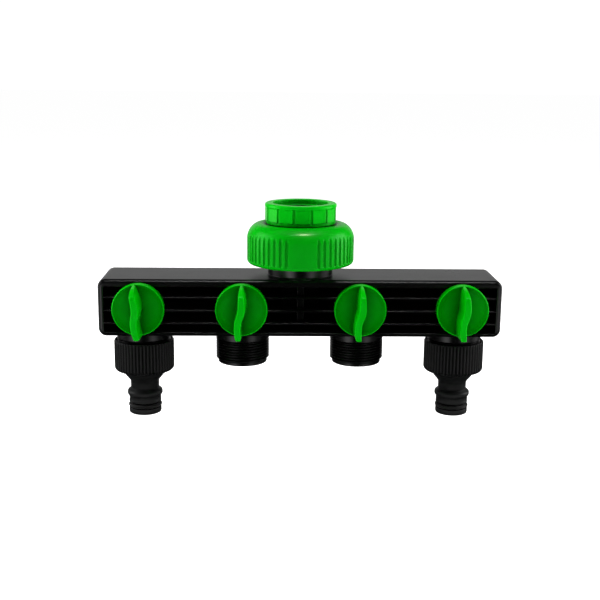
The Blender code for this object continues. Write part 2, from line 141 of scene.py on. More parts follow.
def spline(points, parts):
    """A smooth open curve through the points."""
    points = np.array(points, float)
    ends = np.vstack([2 * points[0] - points[1], points, 2 * points[-1] - points[-2]])
    out = []
    for i in range(1, len(ends) - 2):
        before, start, stop, after = ends[i - 1 : i + 3]
        for k in range(parts):
            t = k / parts
            out.append(
                0.5
                * (
                    2 * start
                    + (stop - before) * t
                    + (2 * before - 5 * start + 4 * stop - after) * t * t
                    + (3 * start - before - 3 * stop + after) * t**3
                )
            )
    out.append(points[-1])
    return np.array(out)


def dense(loop, most, low, high):
    """Splits the sides between two heights into parts no longer than most."""
    out = []
    for i, here in enumerate(loop):
        after = loop[(i + 1) % len(loop)]
        out.append(here)
        length = float(np.linalg.norm(after - here))
        bottom, top = min(here[1], after[1]), max(here[1], after[1])
        if length > most and bottom >= low - 1e-6 and top <= high + 1e-6:
            parts = int(math.ceil(length / most))
            out += [here + (after - here) * k / parts for k in range(1, parts)]
    return np.array(out)


def smoothstep(low, high, x):
    t = np.clip((x - low) / (high - low), 0.0, 1.0)
    return t * t * (3 - 2 * t)


# ------------------------------------------------------------------ meshes
def mesh_object(name, points, faces):
    """An object from points in the bar's frame, with its faces turned outwards."""
    points = np.array(points, float) + np.array((0.0, AXIS_Y, 0.0))
    mesh = bpy.data.meshes.new(name)
    mesh.from_pydata((points * MM).tolist(), [], faces)
    mesh.validate()
    shape = bmesh.new()
    shape.from_mesh(mesh)
    bmesh.ops.recalc_face_normals(shape, faces=shape.faces)
    if shape.calc_volume(signed=True) < 0:
        bmesh.ops.reverse_faces(shape, faces=shape.faces)
    shape.to_mesh(mesh)
    shape.free()
    made = bpy.data.objects.new(name, mesh)
    SCENE.collection.objects.link(made)
    return made


def side_faces(rows, count, closed=False):
    """Quads between rows of count points each; closed joins the last row to the first."""
    faces = []
    for i in range(rows if closed else rows - 1):
        here, there = i * count, ((i + 1) % rows) * count
        for j in range(count):
            after = (j + 1) % count
            faces.append((here + j, here + after, there + after, there + j))
    return faces


def capped_faces(rows, count):
    ends = [tuple(range(count)), tuple(range((rows - 1) * count, rows * count))]
    return side_faces(rows, count) + ends


def lathe(name, loop, steps, shapes=(), at=(0.0, 0.0, 0.0), facing=False):
    """A turned piece. A loop of (radius, height) that starts and ends on the axis makes a solid,
    any other a ring. Each shape(radius, height, angle) changes the radii in turn. facing turns
    the axis towards the user, so that heights are distances in front of y = 0."""
    loop = np.array(loop, float)
    solid = loop[0][0] == 0 and loop[-1][0] == 0
    body = loop[1:-1] if solid else loop
    rows = len(body)
    angle = np.arange(steps) * (2 * math.pi / steps)
    radius = np.repeat(body[:, :1], steps, axis=1)
    height = np.repeat(body[:, 1:2], steps, axis=1)
    around = np.repeat(angle[None, :], rows, axis=0)
    for shape in shapes:
        radius = shape(radius, height, around)
    grid = np.stack([radius * np.cos(around), radius * np.sin(around), height], axis=2)
    grid = grid.reshape(-1, 3)
    faces = side_faces(rows, steps, closed=not solid)
    if solid:
        first, last = len(grid), len(grid) + 1
        grid = np.vstack([grid, (0, 0, loop[0][1]), (0, 0, loop[-1][1])])
        end = (rows - 1) * steps
        faces += [(first, (j + 1) % steps, j) for j in range(steps)]
        faces += [(last, end + j, end + (j + 1) % steps) for j in range(steps)]
    if facing:
        grid = np.stack([grid[:, 0], -grid[:, 2], grid[:, 1]], axis=1)
    return mesh_object(name, grid + np.array(at), faces)


def slab(name, outline, levels, plane):
    """A prism on an outline in a plane. Levels are (inset, place along the third axis)."""
    outline = np.array(outline, float)
    after = np.roll(outline, -1, axis=0)
    ahead, behind = after - outline, outline - np.roll(outline, 1, axis=0)
    ahead /= np.linalg.norm(ahead, axis=1)[:, None]
    behind /= np.linalg.norm(behind, axis=1)[:, None]
    area = 0.5 * np.sum(outline[:, 0] * after[:, 1] - after[:, 0] * outline[:, 1])
    side = 1.0 if area > 0 else -1.0
    normal = side * np.stack([ahead[:, 1] + behind[:, 1], -ahead[:, 0] - behind[:, 0]], axis=1)
    normal /= np.linalg.norm(normal, axis=1)[:, None]
    edge_normal = side * np.stack([ahead[:, 1], -ahead[:, 0]], axis=1)
    stretch = 1.0 / np.clip(np.sum(normal * edge_normal, axis=1), 0.4, 1.0)
    points = []
    for inset, along in levels:
        for x, y in outline - normal * (stretch * inset)[:, None]:
            points.append({"XY": (x, y, along), "XZ": (x, along, y), "YZ": (along, x, y)}[plane])
    return mesh_object(name, points, capped_faces(len(levels), len(outline)))


def edge_levels(low, high, radius_low, radius_high, steps):
    """Levels of a slab whose two rims are rounded."""
    arc = [math.pi / 2 * k / steps for k in range(steps + 1)]
    bottom = [
        (radius_low * (1 - math.cos(a)), low + radius_low * (1 - math.sin(a)))
        for a in reversed(arc)
    ]
    top = [(radius_high * (1 - math.cos(a)), high - radius_high * (1 - math.sin(a))) for a in arc]
    return bottom + top


def block(name, x, y, z, radius):
    """A box with rounded edges between three pairs of limits."""
    return slab(name, rectangle(x, y, radius, 3), edge_levels(*z, radius, radius, 3), "XY")


def turn_about_y(piece, angle, x=0.0, y=0.0, z=0.0):
    """Turns a piece made round the origin of the bar's frame about y and moves it to a place."""
    piece.data.transform(
        Matrix.Translation((x * MM, (AXIS_Y + y) * MM, z * MM))
        @ Matrix.Rotation(angle, 4, "Y")
        @ Matrix.Translation((0, -AXIS_Y * MM, 0))
    )


def open_edges(mesh):
    shape = bmesh.new()
    shape.from_mesh(mesh)
    bad = sum(1 for edge in shape.edges if not edge.is_manifold)
    shape.free()
    return bad


def combine(base, tools, operation):
    """Joins base with the tools, or cuts it by them, and removes the tools."""
    # the exact solver steps in if the faster one leaves nothing or an open mesh
    for solver in ("MANIFOLD", "EXACT"):
        for tool in tools:
            step = base.modifiers.new(tool.name, "BOOLEAN")
            step.object = tool
            step.operation = operation
            step.solver = solver
        bpy.context.view_layer.update()
        graph = bpy.context.evaluated_depsgraph_get()
        made = bpy.data.meshes.new_from_object(base.evaluated_get(graph))
        base.modifiers.clear()
        if len(made.polygons) and not open_edges(made):
            break
    base.data = made
    for tool in tools:
        bpy.data.objects.remove(tool, do_unlink=True)


def settle(piece, finish, body, node, angle=32.0, weighted=False):
    """Shading, finish and place of a piece: it rides on body and replaces a CAD node."""
    material, slot_name = finish
    mesh = piece.data
    mesh.materials.clear()
    mesh.materials.append(material)
    mesh.polygons.foreach_set("use_smooth", [True] * len(mesh.polygons))
    mesh.set_sharp_from_angle(angle=math.radians(angle))
    if weighted:
        step = piece.modifiers.new("even_normals", "WEIGHTED_NORMAL")
        step.keep_sharp = True
        step.weight = 60
    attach(piece, body)
    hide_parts(node)


def thread(surface, crest, pitch, low, high, crest_z, fade):
    """A right-handed thread on a surface radius, fading out at its ends. A crest radius below
    the surface's makes an inner thread, shifted half a pitch to fit the outer one."""
    if crest < surface:
        crest_z = crest_z + pitch / 2

    def shape(radius, height, around):
        on_surface = (np.abs(radius - surface) < 0.02) & (height > low) & (height < high)
        ends = smoothstep(0, fade, height - low) * smoothstep(0, fade, high - height)
        phase = (height - crest_z) / pitch - around / (2 * math.pi)
        wave = smoothstep(0.12, 0.92, 1.0 - 2.0 * np.abs(phase - np.round(phase)))
        return np.where(on_surface, radius + (crest - surface) * ends * wave, radius)

    return shape


# ------------------------------------------------------------------ materials
class Graph:
    """The node tree of a material or world, emptied and ready to fill."""

    def __init__(self, owner):
        owner.use_nodes = True
        self.tree = owner.node_tree
        self.tree.nodes.clear()

    def feed(self, node, key, value):
        """Gives an input a value, a socket, or the first output of a node."""
        if isinstance(value, bpy.types.Node):
            value = value.outputs[0]
        if isinstance(value, bpy.types.NodeSocket):
            self.tree.links.new(value, node.inputs[key])
        else:
            node.inputs[key].default_value = value

    def add(self, kind, inputs=None, **settings):
        node = self.tree.nodes.new("ShaderNode" + kind)
        for key, value in settings.items():
            setattr(node, key, value)
        for key, value in (inputs or {}).items():
            self.feed(node, key, value)
        return node

    def noise(self, where, scale, detail, rough, stretch=None, distort=0.0):
        if stretch:
            where = self.add("Mapping", {"Vector": where, "Scale": stretch})
        return self.add(
            "TexNoise",
            {
                "Vector": where,
                "Scale": scale,
                "Detail": detail,
                "Roughness": rough,
                "Distortion": distort,
            },
        )

    def ramp(self, value, low, high, to_low=0.0, to_high=1.0):
        return self.add(
            "MapRange",
            {
                "Value": value,
                "From Min": low,
                "From Max": high,
                "To Min": to_low,
                "To Max": to_high,
            },
        )

    def mix(self, first, second, factor):
        """A colour mix; inputs 6 and 7 and output 2 are the node's colour sockets."""
        return self.add("Mix", {6: first, 7: second, 0: factor}, data_type="RGBA").outputs[2]

    def maths(self, operation, first, second):
        return self.add("Math", {0: first, 1: second}, operation=operation)


def moulded(
    name, slot, colour, light, dark, roughness, grain, specular, edge, grain_scale=2600.0,
    sheen=0.0, hollow=0.0, reach=9.0, span=(0.22, 0.96), gleam=(1.0, 1.0, 1.0), ripple=0.15,
    patchy=1.0,
):
    """Injection-moulded plastic, as (material, slot name).

    colour, light, dark: main colour and the two its clouds go between
    grain, grain_scale, ripple: strength and fineness of the grain, share of the flow marks
    edge: strength of the painted highlight that lightens edges, broken up by noise
    hollow, reach, span: strength of the painted shade that darkens hollows, how far (mm) it
        looks for walls, and the range of openness it works over; it dims reflections there too
    gleam: tint of the reflections
    patchy: how much the roughness varies
    """
    material = bpy.data.materials.new(name)
    graph = Graph(material)
    shader = graph.add(
        "BsdfPrincipled",
        {
            "Specular IOR Level": specular,
            "Specular Tint": (*gleam, 1.0),
            "Coat Roughness": 0.22,
            "Sheen Weight": sheen,
        },
    )
    graph.add("OutputMaterial", {"Surface": shader})
    where = graph.add("TexCoord").outputs["Object"]
    clouds = graph.noise(where, scale=70.0, detail=3.0, rough=0.55)
    flow = graph.noise(
        where, scale=150.0, detail=2.0, rough=0.5, stretch=(0.25, 1.0, 2.4), distort=0.6
    )
    grains = graph.noise(where, scale=grain_scale, detail=3.0, rough=0.6)
    # noise that breaks up the painted edge highlight into patches
    edge_highlight_breakup = graph.noise(
        where, scale=900.0, detail=2.0, rough=0.7, stretch=(0.12, 1.0, 1.0), distort=1.2
    )

    # edges, from how far the rounded normal leans away from the true one; these edges get a painted
    # highlight, a lighter colour mixed in, and a little more roughness
    soft_normal = graph.add("Bevel", {"Radius": 0.22 * MM}, samples=4)
    true_normal = graph.add("NewGeometry").outputs["Normal"]
    lean = graph.add("VectorMath", {0: soft_normal, 1: true_normal}, operation="DOT_PRODUCT")
    painted_edge_highlight = graph.maths(
        "MULTIPLY",
        graph.ramp(lean.outputs["Value"], 0.985, 0.90),
        graph.ramp(edge_highlight_breakup, 0.35, 0.62, to_low=0.35, to_high=1.0),
    )
    painted_edge_highlight = graph.maths("MULTIPLY", painted_edge_highlight, edge)

    tint = graph.mix((*dark, 1.0), (*light, 1.0), graph.ramp(clouds, 0.3, 0.7))
    flow_share = graph.ramp(flow, 0.25, 0.75, to_low=0.35, to_high=0.9)
    tint = graph.mix(tint, (*colour, 1.0), flow_share)
    # painted shade: ambient occlusion darkens the colour in hollows and dims their reflections
    if hollow > 0:
        near = graph.add("AmbientOcclusion", {"Distance": reach * MM}, samples=6)
        openness = graph.ramp(near.outputs["AO"], *span)
        shaded = tuple(c * (1 - hollow) for c in colour)
        tint = graph.mix((*shaded, 1.0), tint, openness)
        shine = graph.ramp(
            openness, 0.0, 1.0, to_low=specular * (1 - hollow), to_high=specular
        )
        graph.feed(shader, "Specular IOR Level", shine)
    # painted highlight: the lighter colour the edges are mixed towards
    edge_highlight_colour = tuple(min(1.0, 0.72 * c + 0.28 * (0.35 * max(colour) + 0.05)) for c in light)
    graph.feed(shader, "Base Color", graph.mix(tint, (*edge_highlight_colour, 1.0), painted_edge_highlight))

    cloud_change, grain_change = 0.04 * patchy, 0.03 * patchy
    rough = graph.maths(
        "ADD",
        graph.ramp(clouds, 0.25, 0.75, roughness - cloud_change, roughness + cloud_change),
        graph.ramp(grains, 0.3, 0.7, -grain_change, grain_change),
    )
    rough = graph.maths("ADD", rough, graph.maths("MULTIPLY", painted_edge_highlight, 0.12))
    graph.feed(shader, "Roughness", rough)

    height = graph.maths(
        "ADD", graph.maths("MULTIPLY", grains, 0.75), graph.maths("MULTIPLY", flow, ripple)
    )
    bump = graph.add(
        "Bump",
        {"Strength": grain, "Distance": 0.00003, "Height": height, "Normal": soft_normal},
    )
    graph.feed(shader, "Normal", bump)
    return material, slot


# In these finishes hollow, reach and span set a painted shade that darkens the colour and dims
# reflections in hollows and creases, and edge sets a painted highlight on edges.
BLACK = moulded(
    "satin_black_plastic", "black_plastic",
    colour=(0.0026, 0.0027, 0.0028), light=(0.0042, 0.0044, 0.0046), dark=(0.0018, 0.0018, 0.0019),
    roughness=0.29, grain=0.17, specular=0.45, edge=0.3,
    ripple=0.05, patchy=0.4, hollow=0.7, reach=2.0, span=(0.40, 0.90),
)
GREY = moulded(
    "matt_charcoal_plastic", "grey_plastic",
    colour=(0.0072, 0.0078, 0.0079), light=(0.0098, 0.0106, 0.0107), dark=(0.0056, 0.006, 0.0061),
    roughness=0.42, grain=0.5, specular=0.4, edge=0.4,
    hollow=0.90, reach=2.5, span=(0.42, 0.92), ripple=0.1,
)
# GREEN, GREEN_SOCKET and GREEN_KNOB are copies of one green plastic, toned for the light each piece
# gets: the nut's copy has a darker colour, the socket's has dimmed reflections and deep painted shade
# in its mouth, and the knobs' has strong painted shade in the dish.
GREEN = moulded(
    "green_plastic_copy_lit_for_nut", "green_plastic",
    colour=(0.0, 0.40, 0.003), light=(0.0004, 0.44, 0.006), dark=(0.0, 0.365, 0.002),
    roughness=0.25, grain=0.14, specular=0.27, edge=0.3,
    hollow=0.60, reach=10.0, gleam=(0.30, 1.0, 0.55),
)
GREEN_SOCKET = moulded(
    "green_plastic_copy_lit_for_socket", "green_plastic",
    colour=(0.0, 0.515, 0.004), light=(0.0002, 0.55, 0.007), dark=(0.0, 0.48, 0.003),
    roughness=0.27, grain=0.14, specular=0.24, edge=0.3,
    hollow=0.90, reach=30.0, span=(0.38, 0.68), gleam=(0.06, 0.30, 0.18),
)
GREEN_KNOB = moulded(
    "green_plastic_copy_lit_for_knobs", "green_plastic",
    colour=(0.0, 0.51, 0.0008), light=(0.0002, 0.56, 0.003), dark=(0.0, 0.465, 0.0003),
    roughness=0.24, grain=0.12, specular=0.26, edge=0.3,
    hollow=0.94, reach=16.0, span=(0.38, 0.98), gleam=(0.20, 1.0, 0.50),
)
ACETAL = moulded(
    "white_acetal", "white_acetal",
    colour=(0.62, 0.62, 0.58), light=(0.70, 0.70, 0.66), dark=(0.55, 0.55, 0.51),
    roughness=0.34, grain=0.2, specular=0.5, edge=0.1,
)
RUBBER = moulded(
    "black_rubber", "black_rubber",
    colour=(0.006, 0.006, 0.006), light=(0.011, 0.011, 0.011), dark=(0.004, 0.004, 0.004),
    roughness=0.62, grain=0.7, grain_scale=4200.0, specular=0.35, edge=0.2, sheen=0.05,
)


# ------------------------------------------------------------------ the bar
OUTLET_ROOT = 12.4
OUTLET = [
    (0, -12.6, 0), (13.2, -12.6, 0), (13.2, -17.9, 0.35), (OUTLET_ROOT, -18.15, 0.2),
    (OUTLET_ROOT, -28.3, 0), (11.95, -28.55, 0.1), (12.1, -28.75, 0.15), (12.1, -30.23, 0.4),
    (0, -30.23, 0),
]
OUTLET_BORE = [(0, -12.6, 0), (7.0, -12.6, 0), (7.0, -30.0, 0.5), (7.9, -31.0, 0), (0, -31.0, 0)]
NECK = [
    (0, 19.4, 0), (15.9, 19.4, 0.45), (15.9, 14.7, 0.5), (16.4, 14.0, 0), (16.4, 12.6, 0),
    (0, 12.6, 0),
]
THROAT = [(0, 22.0, 0), (12.1, 22.0, 0), (11.8, 18.9, 0.3), (11.8, 11.7, 0.6), (0, 11.7, 0)]
# (radius, distance in front of y = 0), with a corner radius for the drum
DRUM = [(0, 12.5, 0), (11.0, 12.5, 0.5), (11.0, -3.7, 0), (0, -3.7, 0)]
VALVE_WAY = [
    (0, 19.0), (10.0, 19.0), (10.0, 12.3), (8.8, 12.3), (8.8, -2.0), (4.5, -2.0), (4.5, -10.0),
    (0, -10.0),
]
# (radius, height)
BOSS = [(0, -6.0), (9.0, -6.0), (9.0, -13.1), (0, -13.1)]
SEAT = [(0, 0), (6.2, 0), (6.2, -10.6), (4.6, -10.6), (4.6, -14.0), (0, -14.0)]
FEED = [(0, 13.0), (6.0, 13.0), (6.0, -3.0), (0, -3.0)]
# (radius, distance along the bar)
GALLERY = [
    (0, 99.0), (5.8, 99.0), (5.65, 97.0), (5.65, 95.0), (5.0, 95.0),
    (5.0, -95.0), (5.65, -95.0), (5.65, -97.0), (5.8, -99.0), (0, -99.0),
]
END_PLUG = [
    (0, 96.4, 0), (2.9, 96.4, 0.3), (3.2, 96.8, 0.2), (5.4, 96.8, 0.35), (5.4, 95.3, 0),
    (4.65, 95.3, 0.1), (4.65, 84.0, 0.5), (0, 84.0, 0),
]


def pocket():
    """The hollow in the front of the bar, with a rounded lip and floor edge."""
    lip, floor_edge, floor_y = 0.45, 0.6, 3.0
    levels = [(-lip, -20.0), (-lip, -17.05)]
    for a in np.linspace(0.15, math.pi / 2, 5):
        levels.append((-lip * (1 - math.sin(a)), -HALF_DEPTH + lip * (1 - math.cos(a))))
    for a in np.linspace(0, math.pi / 2, 4):
        levels.append((floor_edge * (1 - math.cos(a)), floor_y - floor_edge * (1 - math.sin(a))))
    return slab("pocket", rectangle((-94.6, 94.6), (-11.9, 10.4), 0.9, 5), levels, "XZ")


def ribs():
    """Three ribs along the pocket, thicker at the back."""
    front, back, half_front, half_back = -16.2, 3.6, 0.5, 0.72
    made = []
    for i, z in enumerate((5.0, -1.4, -7.7)):
        section = rounded(
            [
                (front, z - half_front, 0.42),
                (front, z + half_front, 0.42),
                (back, z + half_back, 0),
                (back, z - half_back, 0),
            ]
        )
        made.append(slab(f"rib_{i}", section, [(0.0, -95.2), (0.0, 95.2)], "YZ"))
    return made


def outlet_additions(i, x):
    """A valve's drum, the boss under it and the threaded outlet."""
    spiral = thread(
        OUTLET_ROOT, 13.22, OUTLET_PITCH, low=-28.3, high=-18.05, crest_z=OUTLET_CREST, fade=0.5
    )
    profile = dense(rounded(OUTLET, 4), 0.075, -28.3, -18.1)
    return [
        lathe(f"drum_{i}", rounded(DRUM), 72, at=(x, 0, VALVE_Z), facing=True),
        lathe(f"boss_{i}", BOSS, 56, at=(x, SEAT_Y, 0)),
        lathe(f"outlet_{i}", profile, 160, [spiral], at=(x, 0, 0)),
    ]


def outlet_cuts(i, x):
    """The hollows for a valve and its seat, and the outlet's bore."""
    return [
        lathe(f"way_{i}", VALVE_WAY, 64, at=(x, 0, VALVE_Z), facing=True),
        lathe(f"seat_{i}", SEAT, 48, at=(x, SEAT_Y, 0)),
        lathe(f"bore_{i}", rounded(OUTLET_BORE), 64, at=(x, 0, 0)),
    ]


def build_bar():
    outline = rectangle((-HALF_LENGTH, HALF_LENGTH), (-HALF_HEIGHT, HALF_HEIGHT), 3.8, 12)
    rims = edge_levels(-HALF_DEPTH, HALF_DEPTH, radius_low=2.1, radius_high=1.9, steps=9)
    bar = slab("manifold_shell", outline, rims, "XZ")
    combine(bar, [pocket()], "DIFFERENCE")

    extra = ribs()
    extra.append(block("centre_web", (-1.65, 1.65), (-12.0, -3.0), (-7.9, 11.2), 0.35))
    extra.append(block("inlet_block", (-9.0, 9.0), (-4.0, 3.8), (-5.5, 11.2), 0.5))
    for i, x in enumerate(OUTLET_X):
        extra += outlet_additions(i, x)
    extra.append(lathe("neck", rounded(NECK, 6), 128))
    combine(bar, extra, "UNION")

    cuts = []
    for i, x in enumerate(OUTLET_X):
        cuts += outlet_cuts(i, x)
    cuts.append(lathe("throat", rounded(THROAT), 96))
    cuts.append(lathe("feed", FEED, 48, at=(0, 5.0, 0)))
    combine(bar, cuts, "DIFFERENCE")

    gallery = lathe("gallery", GALLERY, 56)
    turn_about_y(gallery, math.pi / 2, y=GALLERY_Y)
    combine(bar, [gallery], "DIFFERENCE")
    settle(bar, BLACK, "manifold", "manifold_body", angle=28, weighted=True)
    return bar


def build_end_plugs():
    for side, sign in (("left", -1), ("right", 1)):
        plug = lathe(f"gallery_plug_{side}", rounded(END_PLUG, 4), 64)
        turn_about_y(plug, sign * math.pi / 2, y=GALLERY_Y)
        settle(plug, BLACK, "manifold", f"end_plug_{side}")


# ------------------------------------------------------------------ inlet
INLET_TAIL = [
    (14.9, 25.8, 0.3), (14.9, 23.3, 0.2), (13.0, 23.3, 0.3), (13.0, 19.7, 0.15),
    (11.5, 19.7, 0.15), (11.5, 12.5, 0), (11.0, 12.0, 0), (8.5, 12.0, 0.3), (8.5, 25.8, 0.3),
]
NUT_THREAD_RADIUS = 17.0
NUT_INSIDE = [
    (15.9, 26.5, 0), (15.9, 23.0, 0.3), (13.4, 23.0, 0.3), (13.4, NUT_BOTTOM, 0.4),
    (NUT_RADIUS - NUT_ROUNDING, NUT_BOTTOM, 0),
]
# (radius, height)
NUT_SHOULDER = [
    (NUT_RADIUS, 32.2), (26.1, 33.4), (25.6, 35.1), (24.7, 36.8), (23.6, 38.0), (22.4, 38.9),
    (21.0, 39.4), (19.6, 39.55),
]
NUT_MOUTH = [
    (18.6, 39.45), (18.1, 39.3), (17.8, 39.15), (17.5, 38.8), (NUT_THREAD_RADIUS, 38.3),
    (NUT_THREAD_RADIUS, 27.0), (16.5, 26.5),
]
ADAPTOR_ROOT = 15.15  # of the outer thread
SOCKET_RADIUS = 13.3
ADAPTOR = [
    (13.62, 49.4, 0.25), (ADAPTOR_RADIUS, 49.4, 0.95), (ADAPTOR_RADIUS, 41.15, 0.2),
    (16.95, 40.95, 0.1), (16.9, 39.5, 0.1), (ADAPTOR_ROOT, 39.5, 0.1), (ADAPTOR_ROOT, 29.2, 0.1),
    (14.5, 28.6, 0.1), (8.8, 28.6, 0.3), (8.8, 34.0, 0.2), (13.0, 34.0, 0.1), (13.0, 36.2, 0.1),
    (SOCKET_RADIUS, 36.5, 0), (SOCKET_RADIUS, 47.2, 0.1), (13.45, 48.9, 0.2),
]


def washer(name, radii, heights, corner, body, node, at=(0, 0, 0)):
    ring = lathe(name, rectangle(radii, heights, corner, 3), 96, at=at)
    settle(ring, RUBBER, body, node)


def nut_flutes(radius, height, around):
    """Three plain lands and between them round-bottomed vertical grooves."""
    floor_radius = 25.56
    groove_radius = 0.72
    softness = 0.16  # rounds the grooves' edges
    uncut = 40.0  # beyond the nut
    third = 2 * math.pi / 3
    local = (around - NUT_TURNED) % third
    land = (third - NUT_FLUTE_COUNT * NUT_FLUTE) / 2
    place = (local - land) / NUT_FLUTE - 0.5
    nearest = np.clip(np.round(place), 0, NUT_FLUTE_COUNT - 1)
    across = np.abs(place - nearest) * NUT_FLUTE * NUT_RADIUS
    # the floor rises in an arc at the bottom and slopes outwards at the top
    rise = np.clip((22.6 - height) / 1.5, 0.0, 1.0)
    floor = floor_radius + 0.9 * (1 - np.sqrt(np.clip(1 - rise**2, 0.0, 1.0)))
    floor = floor + np.where(height > 34.0, 0.05 * (height - 34.0), 0.0)
    cut = floor + groove_radius - np.sqrt(np.clip(groove_radius**2 - across**2, 0.0, None))
    cut = np.where(across < groove_radius, cut, uncut)
    gap = radius - cut
    fade = np.clip(1 - gap / -1.2, 0, 1) * (gap < 0)
    blended = radius - 0.5 * (gap + np.sqrt(gap**2 + softness**2)) + 0.5 * softness * fade
    outside = (radius > 22.0) & (height > 20.6) & (height < 38.6)
    return np.where(outside & (gap > -1.0), np.minimum(blended, radius), radius)


def build_nut():
    bottom_rounding = [
        (
            NUT_RADIUS - NUT_ROUNDING + NUT_ROUNDING * math.sin(a),
            NUT_BOTTOM + NUT_ROUNDING - NUT_ROUNDING * math.cos(a),
        )
        for a in np.linspace(0.0, math.pi / 2, 9)
    ]
    inside = rounded(NUT_INSIDE, 4)[:-1]  # its last point is the first of the bottom rounding
    loop = np.vstack([inside, bottom_rounding, spline(NUT_SHOULDER, 7), NUT_MOUTH])
    inner_thread = thread(
        NUT_THREAD_RADIUS, 15.55, NUT_PITCH, low=27.0, high=38.3, crest_z=NUT_CREST, fade=0.9
    )
    nut = lathe("union_nut", dense(loop, 0.3, 21.6, 38.0), 720, [nut_flutes, inner_thread])
    settle(nut, GREEN, "swivel_nut", "swivel_nut", angle=40)
    return nut


def adaptor_panels(radius, height, around):
    """Flat grip panels with grooves between them."""
    place = (around - PANEL_TURNED) / PANEL
    off = (place - np.round(place)) * PANEL
    flat = ADAPTOR_RADIUS * math.cos(PANEL / 2 - 0.03) / np.cos(off)
    to_groove = (PANEL / 2 - np.abs(off)) * 17.4
    groove = 1.0 - smoothstep(0.40, 0.74, to_groove)
    target = flat - 0.6 * groove
    below_rim = 1 - smoothstep(47.35, 47.75, height)
    outside = (radius > 16.97) & (height > 40.9) & (height < 48.3)
    return np.where(outside, radius - below_rim * np.clip(radius - target, 0.0, None), radius)


def build_adaptor():
    outer_thread = thread(
        ADAPTOR_ROOT, 16.62, NUT_PITCH, low=29.2, high=39.45, crest_z=NUT_CREST, fade=0.7
    )
    inner_thread = thread(
        SOCKET_RADIUS, 12.35, SOCKET_PITCH, low=36.5, high=47.2, crest_z=SOCKET_CREST, fade=1.2
    )
    loop = dense(rounded(ADAPTOR, 6), 0.14, 28.9, 48.6)
    shapes = [adaptor_panels, outer_thread, inner_thread]
    adaptor = lathe("threaded_adaptor", loop, 520, shapes)
    settle(adaptor, GREEN_SOCKET, "inlet_adaptor", "inlet_adaptor", angle=40)


def build_inlet():
    """All the inlet's pieces; returns the nut."""
    tail = lathe("inlet_tube", rounded(INLET_TAIL, 4), 112)
    settle(tail, BLACK, "manifold", "inlet_tail")
    washer("flat_gasket", (8.9, 14.6), (26.1, 28.3), 0.25, "inlet_gasket", "inlet_gasket")
    washer("socket_washer", (9.2, 11.6), (34.3, 36.6), 0.3, "inlet_adaptor", "adaptor_washer")
    nut = build_nut()
    build_adaptor()
    return nut


# ------------------------------------------------------------------ valves
# Stations down the knob's wavy fin: height z; left and right x of its crest; left and right x
# of its foot; distance of the crest in front of y = 0
FIN = [
    (12.25, -0.50, 0.00, -0.62, 0.12, 22.35),
    (12.0, -0.74, 0.24, -0.95, 0.45, 24.4),
    (11.6, -0.98, 0.48, -1.25, 0.8, 27.2),
    (10.9, -1.18, 0.68, -1.55, 1.15, 29.9),
    (10.0, -1.33, 0.85, -1.8, 1.5, 32.4),
    (8.9, -1.43, 1.06, -1.95, 1.85, 34.1),
    (7.7, -1.47, 1.28, -2.05, 2.25, 34.6),
    (4.8, -1.44, 1.64, -2.15, 2.85, 34.6),
    (1.5, -1.48, 1.72, -2.18, 2.85, 34.6),
    (-0.7, -1.97, 1.33, -2.5, 2.3, 34.6),
    (-2.2, -2.45, 0.8, -2.85, 1.75, 34.6),
    (-3.9, -2.76, 0.33, -3.07, 1.15, 34.6),
    (-6.2, -2.87, 0.14, -3.16, 0.8, 34.6),
    (-9.0, -2.66, 0.26, -3.0, 0.85, 34.6),
    (-12.1, -1.98, 0.48, -2.6, 1.1, 34.6),
]
FIN_END = FIN[-1][0]
FIN_END_ROUNDING = 0.45
FIN_FOOT = 18.6  # distance in front of y = 0
# (radius, distance in front of y = 0), with corner radii for the rim and the collar
KNOB_FACE = [(0.0, 21.1), (4.5, 21.13), (7.5, 21.24), (9.6, 21.5), (10.9, 21.92), (11.65, 22.28)]
KNOB_BACK = 15.2
KNOB_RIM = [
    (11.9, 22.45, 0), (12.15, 22.5, 0.2), (12.45, 22.0, 0.5), (12.42, 17.6, 0.5),
    (11.4, 17.6, 0.2), (11.2, 18.6, 0.4), (5.9, 18.6, 0.4), (5.5, 17.6, 0.1), (5.4, KNOB_BACK, 0),
]
COLLAR = [
    (9.7, 14.4, 0.3), (9.7, 12.6, 0.2), (8.4, 12.6, 0.1), (8.4, 11.4, 0.2), (4.3, 11.4, 0.2),
    (4.3, 14.4, 0.3),
]


def between(start, stop, fractions):
    return [start + (stop - start) * t for t in fractions]


def fin_section(left, right, foot_left, foot_right, crest):
    """Points (x, distance in front) over the fin, from its left foot to its right one."""
    radius = min(0.55, 0.4 * (right - left), 0.3 * (crest - FIN_FOOT))
    start, stop = np.array((foot_left, FIN_FOOT)), np.array((foot_right, FIN_FOOT))
    crest_left, crest_right = (left, crest), (right, crest)
    top_left = fillet(start, crest_left, crest_right, radius, parts=6)
    top_right = fillet(crest_left, crest_right, stop, radius, parts=6)
    return (
        between(start, top_left[0], (0.0, 0.33, 0.66))
        + top_left
        + between(top_left[-1], top_right[0], (0.33, 0.66))
        + top_right
        + between(top_right[-1], stop, (0.33, 0.66, 1.0))
    )


def build_fin():
    """The wavy fin, lofted from rounded sections, its lower end's edges rounded off."""
    rows = [(*row, 0.0) for row in spline(FIN, 6)]  # the last number shrinks the section
    body = [row for row in rows if row[0] > FIN_END + 0.46]
    for k in range(6):
        a = math.pi / 2 * k / 5
        z = FIN_END + FIN_END_ROUNDING * (1 - math.sin(a))
        body.append((z, *rows[-1][1:6], FIN_END_ROUNDING * (1 - math.cos(a))))
    points = []
    for z, left, right, foot_left, foot_right, crest, eased in body:
        section = fin_section(
            left + eased, right - eased, foot_left + eased, foot_right - eased, crest - eased
        )
        points += [(x, -front, z) for x, front in section]
    return mesh_object("fin", points, capped_faces(len(body), len(section)))


